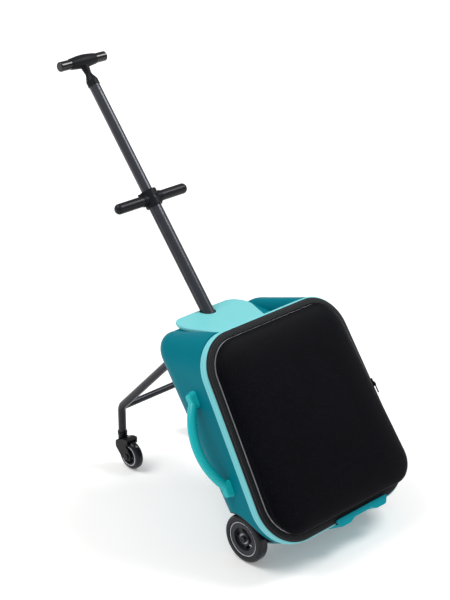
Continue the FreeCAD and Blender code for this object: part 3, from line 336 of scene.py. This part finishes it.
# Handlebar: two smooth black grips in the sockets of a nylon collar, which a
# socket screw clamps on the lower tube, with a release button on its left.
grip_nylon = moulded("grip nylon", "1c1d21", "17181c", 0.30, 0.16, 900.0, 0.00003)
paint(grip_nylon, "handlebar_left", "handlebar_right")
paint(black_nylon, "handlebar_collar", "release_button")
paint(dark_steel, "collar_screw")


# Tow handle: a swollen matt core with a glossy grip at each end, on a waisted
# neck that two screws fix to the upper tube.
gloss_nylon = moulded("gloss nylon", "0c0c0e", "09090b", 0.12, 0.40, 700.0, 0.00002)
paint(gloss_nylon, "tow_grip_left", "tow_grip_right")
paint(black_nylon, "handle_core", "handle_neck")
paint(dark_steel, "neck_screws")


# Leg frame: two bent dark tubes with a brace, hinged in steel clevises on the
# back of the case, with a steel caster stem in each foot.
leg_tube = drawn_tube("dark leg tube", "2a2b31", "1d1e23")
paint(leg_tube, "leg_tube_left", "leg_tube_right", "cross_brace", "leg_bracket_left", "leg_bracket_right")
paint(zinc, "leg_pins", "bracket_screws", "caster_stems")


# Casters: glossy nylon forks with a hood over the wheel, small tyres and hubs
# like the rear ones, and an axle with a socket head.
fork_nylon = moulded("fork nylon", "191a1e", "141518", 0.26, 0.14, 900.0, 0.00003)
axle_head_radius = 0.006
for side in ("left", "right"):
    paint(fork_nylon, "caster_fork_" + side)
    paint(dark_steel, "caster_axle_" + side)
    paint(black_tyre, "caster_tyre_" + side)
    paint(hub_plastic, "caster_hub_" + side)
    rim_line("caster_rim_line_" + side, "caster_hub_" + side, line_share, "caster_wheel_" + side)
    head_low, head_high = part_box("caster_axle_" + side)
    head_middle = (head_low + head_high) / 2
    heads = bmesh.new()
    for out, x in ((-1, head_low.x), (1, head_high.x)):
        bolt_face(heads, Vector((x + out * face_gap, head_middle.y, head_middle.z)), out, axle_head_radius)
    piece("caster_axle_faces_" + side, heads, dark_steel, "caster_" + side)


# Zip band: a woven tape rolled over a soft core round the mouth of the case,
# stitched to the trim. The mouth is a rounded trapezium on a raked plane.
tyre_low, tyre_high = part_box("rear_tyre_left")
wheel_track = 0.174
axle = (tyre_low + tyre_high) / 2 + Vector((wheel_track, 0, 0))
lean = math.radians(32.0)
axle_depth, axle_rise = 0.091, 0.0424
mouth_top, mouth_low = 0.431, 0.0025
mouth_bottom_half, mouth_top_half = 0.204, 0.185
mouth_corner, mouth_low_corner, least_corner_share = 0.080, 0.088, 0.5
mouth_rake, mouth_pivot = 0.025, 0.7
band_width, band_rise, band_wall = 0.014, 0.007, 0.0022


def case_point(x, depth, rise):
    """Point of the upright case, in the frame of the whole object."""
    d = depth - axle_depth
    h = rise - axle_rise
    along = d * math.cos(lean) + h * math.sin(lean)
    up = h * math.cos(lean) - d * math.sin(lean)
    return axle + Vector((x, along, up))


def mouth_outline(offset, count, tight=0.0, raised=0.0):
    """Evenly spaced points round the mouth, grown by an offset.

    The lower corners can be tightened and the lower edge raised.
    """
    bottom, top = mouth_bottom_half + offset, mouth_top_half + offset
    low, high = mouth_low - offset + raised, mouth_top + offset
    low_round = max(mouth_low_corner + offset - tight, mouth_low_corner * least_corner_share)
    high_round = max(mouth_corner + offset, mouth_corner * least_corner_share)
    corners = [Vector((bottom, low)), Vector((top, high)), Vector((-top, high)), Vector((-bottom, low))]
    rounds = [low_round, high_round, high_round, low_round]
    path = []
    arc_steps = 24
    for i, point in enumerate(corners):
        before = (corners[i - 1] - point).normalized()
        after = (corners[(i + 1) % 4] - point).normalized()
        half = before.angle(after) / 2
        middle = point + (before + after).normalized() * rounds[i] / math.sin(half)
        start = point + before * rounds[i] / math.tan(half) - middle
        turn = math.pi - 2 * half
        for j in range(arc_steps + 1):
            angle = turn * j / arc_steps
            c, s = math.cos(angle), math.sin(angle)
            path.append(middle + Vector((c * start.x - s * start.y, s * start.x + c * start.y)))
    path.append(path[0])
    lengths = [0.0]
    for first, second in zip(path, path[1:]):
        lengths.append(lengths[-1] + (second - first).length)
    points = []
    k = 0
    for i in range(count):
        want = lengths[-1] * i / count
        while lengths[k + 1] < want:
            k += 1
        share = (want - lengths[k]) / max(lengths[k + 1] - lengths[k], 1e-9)
        points.append(path[k].lerp(path[k + 1], share))
    return points


def mouth_ring(shape, offset, depth, count, swell=0.0, tight=0.0, raised=0.0):
    """Ring of vertices along the mouth at an offset and a depth."""
    ring = []
    for p in mouth_outline(offset, count, tight, raised):
        raked = depth + mouth_rake * (p.y - mouth_top * mouth_pivot) - swell * (1 - p.y / mouth_top)
        ring.append(shape.verts.new(case_point(p.x, raked, p.y)))
    return ring


def woven(name, light, dark, gloss, pitch, relief, shine):
    """Woven cloth: crossed threads that rise and sink, with a fine uneven nap."""
    finish = Finish(name)
    place = finish.place()
    waves = []
    for direction in ("X", "Z"):
        settings = {"wave_type": "BANDS", "bands_direction": direction, "wave_profile": "SIN"}
        inputs = {"Vector": place, "Scale": pitch, "Distortion": 0.6, "Detail": 1.0, "Detail Scale": 3.0}
        waves.append(finish.node("ShaderNodeTexWave", settings, inputs, 1))
    threads = waves[0] * waves[1]
    nap = finish.steps(finish.noise(420.0, 3.0), 0.46, 0.66)
    cloud = finish.noise(12.0, 4.0)
    mask = threads * 0.3 + nap * 0.55 + cloud * 0.15
    finish.set(Base_Color=finish.blend(mask, tint(dark), tint(light)))
    finish.set(Roughness=gloss + nap * 0.12)
    finish.set(Specular_IOR_Level=shine)
    finish.bump(threads + nap * 0.5, 0.6, relief)
    return finish


band_cloth = woven("band cloth", "292b2f", "16181a", 0.62, 210.0, 0.0003, 0.16)
band_cloth.set(Sheen_Weight=0.08, Sheen_Roughness=0.4)
band_count, band_rolls, band_puff = 240, 10, 0.0002
band = bmesh.new()
rings = []
for i in range(band_rolls + 1):
    turn = math.pi / 2 * i / band_rolls
    offset = -band_width * (1 - math.cos(turn)) + band_puff * math.sin(2 * turn)
    rings.append(mouth_ring(band, offset, -band_rise * math.sin(turn), band_count))
for i in range(band_rolls, -1, -1):
    turn = math.pi / 2 * i / band_rolls
    offset = -band_wall - (band_width - band_wall) * (1 - math.cos(turn))
    rings.append(mouth_ring(band, offset, -(band_rise - band_wall) * math.sin(turn), band_count))
for first, second in zip(rings, rings[1:] + rings[:1]):
    bridge(band, first, second)
zip_band = piece("zip_band_cloth", band, band_cloth.material, "case")
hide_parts("zip_band")


# Band stitches: one row of dark thread along the band's outer edge, which
# sews the tape to its core.
thread = woven("sewing thread", "54575b", "3c3f42", 0.5, 900.0, 0.0001, 0.3)
stitch_long, stitch_thick = 0.0017, 0.00035
stitch_count, stitch_sides, stitch_share = 400, 6, 0.22
stitches = bmesh.new()
stitch_path = mouth_outline(-band_width * stitch_share, stitch_count)
stitch_turn = math.acos(1 - stitch_share)
stitch_depth = -band_rise * math.sin(stitch_turn) - stitch_thick
for i in range(len(stitch_path)):
    p = stitch_path[i]
    ahead = (stitch_path[(i + 1) % len(stitch_path)] - p).normalized()
    aside = Vector((ahead.y, -ahead.x))
    ends = []
    for along, thick in ((-1, 0.35), (-0.6, 1.0), (0.6, 1.0), (1, 0.35)):
        ring = []
        for k in range(stitch_sides):
            turn = 2 * math.pi * k / stitch_sides
            q = p + ahead * stitch_long * along + aside * stitch_thick * thick * math.cos(turn)
            depth = stitch_depth + mouth_rake * (q.y - mouth_top * mouth_pivot)
            depth += stitch_thick * thick * math.sin(turn) - stitch_thick * (thick - 1)
            ring.append(stitches.verts.new(case_point(q.x, depth, q.y)))
        ends.append(ring)
    for first, second in zip(ends, ends[1:]):
        bridge(stitches, first, second)
    stitches.faces.new(ends[0])
    stitches.faces.new(ends[-1])
piece("band_stitches", stitches, thread.material, "case")


# Zip teeth: small moulded teeth along the band's inner edge, in the groove
# that the lid's piping closes.
teeth_plastic = moulded("zip teeth", "1c1d1f", "161719", 0.30, 0.12)
tooth_half, tooth_gap, tooth_sink, tooth_count = 0.00055, 0.0001, 0.0022, 640
teeth = bmesh.new()
tooth_path = mouth_outline(-band_width - tooth_gap, tooth_count)
for i, p in enumerate(tooth_path):
    ahead = (tooth_path[(i + 1) % len(tooth_path)] - p).normalized()
    aside = Vector((ahead.y, -ahead.x))
    corners = []
    for along in (-0.8, 0.8):
        for across, proud in ((-1.0, -1.6), (1.0, -1.6), (0.5, 1.6), (-0.5, 1.6)):
            q = p + ahead * tooth_half * along + aside * tooth_half * across
            depth = -band_rise + tooth_sink - tooth_half * proud
            depth = depth + mouth_rake * (q.y - mouth_top * mouth_pivot)
            corners.append(teeth.verts.new(case_point(q.x, depth, q.y)))
    for quad in ((0, 1, 2, 3), (7, 6, 5, 4), (0, 4, 5, 1), (1, 5, 6, 2), (2, 6, 7, 3), (3, 7, 4, 0)):
        teeth.faces.new([corners[q] for q in quad])
piece("zip_teeth", teeth, teeth_plastic, "case")


# Lid: a moulded foam pad in a fine black knitted cover, thicker towards its
# foot, with soft shoulders that lean over the band.
piping_radius, piping_gap = 0.0014, 0.0006
lid_offset = -band_width - 2 * piping_gap - 2 * piping_radius
lid_edge, lid_dome = 0.006, 0.002
lid_back = -band_rise + lid_edge
lid_side, lid_crown, lid_run = 0.002, 0.014, 0.080
lid_swell, lid_tight = 0.018, 0.022
lid_count = 220
lid_shoulder = ((0.0, 0.0, 0.0), (2.4, 0.30, 0.0), (2.9, 0.60, 0.3), (1.5, 0.90, 1.4), (-3.4, 1.0, 4.1))
lid_profile = [(out / 1000, share, rise / 1000) for out, share, rise in lid_shoulder]
for degrees in (30, 42, 54, 66, 78, 90):
    turn = math.radians(degrees)
    lid_profile.append((-lid_run * (1 - math.cos(turn)), 1.0, lid_crown * math.sin(turn)))
lid_rolls = 3
pad = bmesh.new()
rings = [mouth_ring(pad, lid_offset, lid_back, lid_count)]
for i in range(len(lid_profile) - 1):
    knots = [Vector(lid_profile[max(0, min(k, len(lid_profile) - 1))]) for k in range(i - 1, i + 3)]
    for j in range(lid_rolls + (i == len(lid_profile) - 2)):
        t = j / lid_rolls
        bend = (knots[2] - knots[0]) * t
        bend += (2 * knots[0] - 5 * knots[1] + 4 * knots[2] - knots[3]) * t * t
        bend += (3 * knots[1] - knots[0] - 3 * knots[2] + knots[3]) * t * t * t
        out, share, rise = knots[1] + bend / 2
        depth = -band_rise - lid_side * share - rise
        swell, tight = lid_swell * share, lid_tight * share
        rings.append(mouth_ring(pad, lid_offset + out, depth, lid_count, swell, tight, max(out, 0.0)))
for first, second in zip(rings, rings[1:]):
    bridge(pad, first, second)
outward = (case_point(0, -1, 0) - case_point(0, 0, 0)).normalized()


def close_ring(shape, ring, swell):
    """Fills a ring towards its middle with smaller and smaller rings."""
    middle = sum((v.co for v in ring), Vector()) / len(ring)
    fills = 9
    last = ring
    for i in range(1, fills):
        share = 1 - i / fills
        lift = outward * swell * (1 - share * share)
        fill = [shape.verts.new(middle.lerp(v.co, share) + lift) for v in ring]
        bridge(shape, last, fill)
        last = fill
    tip = shape.verts.new(middle + outward * swell)
    for i in range(len(last)):
        shape.faces.new((last[i], last[(i + 1) % len(last)], tip))


close_ring(pad, rings[-1], lid_dome)
close_ring(pad, rings[0], 0.0)
lid_cloth = woven("lid cloth", "11121d", "000000", 0.42, 330.0, 0.0002, 0.05)
lid_cloth.set(Sheen_Weight=0.05, Sheen_Roughness=0.30, Sheen_Tint=(0.62, 0.68, 0.82, 1))
lid_cover = piece("lid_cover", pad, lid_cloth.material, "lid")
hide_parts("lid_panel")


# Lid piping: a thin pale cord in a sewn sleeve, along the pad's edge where it
# meets the band.
cord_cloth = woven("piping cord", "d0d4d9", "b4b8be", 0.5, 420.0, 0.0002, 0.1)
cord = bmesh.new()
cord_middle = -band_width - piping_gap - piping_radius
cord_sides, cord_count = 10, 300
rings = []
for i in range(cord_sides):
    turn = 2 * math.pi * i / cord_sides
    offset = cord_middle + piping_radius * math.cos(turn)
    depth = -band_rise + piping_radius * (1 + math.sin(turn))
    rings.append(mouth_ring(cord, offset, depth, cord_count))
for first, second in zip(rings, rings[1:] + rings[:1]):
    bridge(cord, first, second)
piping = piece("lid_piping_cord", cord, cord_cloth.material, "lid")
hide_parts("lid_piping")


# Lid lining: a quilted grey sheet behind the pad, sewn round its edge, that
# shows when the lid is open.
lining_inset, lining_gap = 0.004, 0.0001
lining_offset, lining_front = lid_offset - lining_inset, lid_back + lining_gap
lining_thick, lining_count = 0.0015, 200
lining = bmesh.new()
rings = []
for inset, share in ((0.0, 0.0), (0.0, 0.6), (-0.0012, 1.0), (-0.006, 1.0), (-0.009, 0.7), (-0.014, 1.0)):
    rings.append(mouth_ring(lining, lining_offset + inset, lining_front + lining_thick * share, lining_count))
for first, second in zip(rings, rings[1:]):
    bridge(lining, first, second)
close_ring(lining, rings[-1], 0.0)
close_ring(lining, rings[0], 0.0)
lining_cloth = woven("lining cloth", "6a6e72", "54575b", 0.62, 260.0, 0.0002, 0.2)
lid_lining = piece("lid_lining", lining, lining_cloth.material, "lid")
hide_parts("lid_liner")


# Zip slider and pull: die cast metal with a dark coating, the pull swinging
# on the slider's pin.
slider_coat = metal("slider coat", "34363a", "222326", 0.34, 300.0)
paint(slider_coat, "zip_slider", "zip_pull")


# Studio: a pale floor that runs into the background, soft light all round
# and two large soft lights from above. The floor also glows with a painted glow that is no lamp.
floor_half = 90.0
floor_shape = bmesh.new()
bmesh.ops.create_grid(floor_shape, x_segments=2, y_segments=2, size=floor_half)
floor_mesh = bpy.data.meshes.new("floor")
floor_shape.to_mesh(floor_mesh)
floor_shape.free()
floor = bpy.data.objects.new("floor", floor_mesh)
bpy.context.scene.collection.objects.link(floor)
floor_paper = Finish("floor paper")
floor_tone = floor_paper.blend(floor_paper.noise(3.0), (0.94, 0.926, 0.919, 1), (0.92, 0.906, 0.899, 1))
floor_paper.set(Base_Color=floor_tone, Roughness=0.9, Specular_IOR_Level=0.1)
# Painted glow: the floor's emission is faint near the object so its shadows stay, and white further out so
# the background reads white.
away = floor_paper.node("ShaderNodeVectorMath", {"operation": "LENGTH"}, {0: floor_paper.place()}, 1)
painted_glow_share = floor_paper.steps(away * 0.25, 0.2, 0.8)
painted_glow_colour = floor_paper.blend(painted_glow_share, (0.28, 0.274, 0.272, 1), (1, 1, 1, 1))
floor_paper.set(Emission_Color=painted_glow_colour, Emission_Strength=0.7)
floor_mesh.materials.append(floor_paper.material)

world = bpy.data.worlds.new("studio")
world.use_nodes = True
world.node_tree.nodes["Background"].inputs["Color"].default_value = (1, 1, 1, 1)
world.node_tree.nodes["Background"].inputs["Strength"].default_value = 0.42
bpy.context.scene.world = world
bpy.context.scene.view_settings.view_transform = "Standard"


def soft_light(name, place, aim, size, power):
    """Square soft light turned towards a point."""
    lamp = bpy.data.lights.new(name, "AREA")
    lamp.size = size
    lamp.energy = power
    held = bpy.data.objects.new(name, lamp)
    held.location = place
    held.rotation_euler = (Vector(aim) - Vector(place)).to_track_quat("-Z", "Y").to_euler()
    bpy.context.scene.collection.objects.link(held)


soft_light("key light", (1.7, -1.0, 2.9), (0, -0.1, 0.3), 1.2, 62.0)
soft_light("top light", (-1.3, 0.9, 2.7), (0, 0, 0.2), 1.8, 52.0)


# Camera: the photograph's viewing angle, from the left in front of the lid.
camera_data = bpy.data.cameras.new("camera")
camera_data.sensor_width = 36.0
camera_data.lens = 98.447
camera = bpy.data.objects.new("camera", camera_data)
wheel_radius = 0.050
camera.location = (axle.x - 2.05654, axle.y - 1.93500, axle.z - wheel_radius + 1.80782)
camera.rotation_euler = (math.radians(65.16), 0, math.radians(-43.32))
bpy.context.scene.collection.objects.link(camera)
bpy.context.scene.camera = camera
